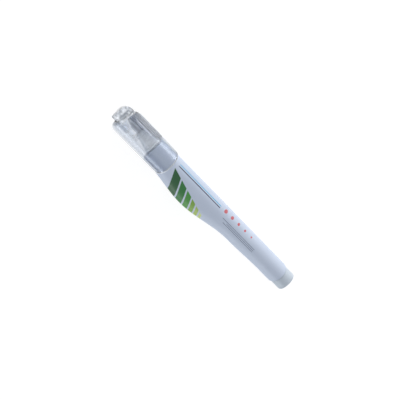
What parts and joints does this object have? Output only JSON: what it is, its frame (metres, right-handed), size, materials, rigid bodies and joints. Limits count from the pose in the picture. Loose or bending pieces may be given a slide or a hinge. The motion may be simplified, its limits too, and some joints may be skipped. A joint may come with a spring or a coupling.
{
  "type": "correction pen",
  "caption": "Squeeze-type correction pen: white barrel with a one-sided belly, clear pull-off cap with an inner sleeve, sprung needle tip, end plug and a loose mixing ball.",
  "frame": {"origin": "centre of the end plug's flat end face, on the pen's long axis", "axes": "+X along the pen's axis from the end plug to the cap's nose, +Y towards the squeeze belly, +Z out of the broad printed face, so the pen lies on its back face"},
  "size_m": [0.138, 0.0191, 0.0144],
  "materials": {
    "white_plastic": "satin white squeeze plastic with a printed green band",
    "frosted_plastic": "frosted translucent plastic",
    "clear_plastic": "clear glossy plastic",
    "natural_plastic": "natural milky plastic",
    "grey_rubber": "dark grey sealing rubber",
    "nickel_steel": "turned and plated",
    "needle_steel": "ground bright",
    "spring_steel": "drawn wire",
    "turned_brass": "turned",
    "ball_steel": "polished"
  },
  "bodies": {
    "pen": {"barrel": "white_plastic", "end_plug": "frosted_plastic", "seal_washer": "grey_rubber", "nozzle": "natural_plastic", "metal_tip": "nickel_steel", "spring_retainer": "turned_brass", "valve_spring": "spring_steel"},
    "cap": {"cap_shell": "clear_plastic", "inner_cap": "clear_plastic"},
    "needle": {"valve_needle": "needle_steel"},
    "ball": {"mixing_ball": "ball_steel"}
  },
  "joints": [
    {"name": "cap_pull", "type": "slide", "parent": "pen", "child": "cap", "axis": [1, 0, 0], "range_m": [0, 0.045]},
    {"name": "needle_press", "type": "slide", "parent": "pen", "child": "needle", "axis": [-1, 0, 0], "range_m": [0, 0.0006], "stiffness_N_per_m": 400, "springref_m": -0.0008, "deforming": ["valve_spring"]},
    {"name": "ball_rattle", "type": "slide", "parent": "pen", "child": "ball", "axis": [1, 0, 0], "range_m": [0, 0.0732]}
  ]
}
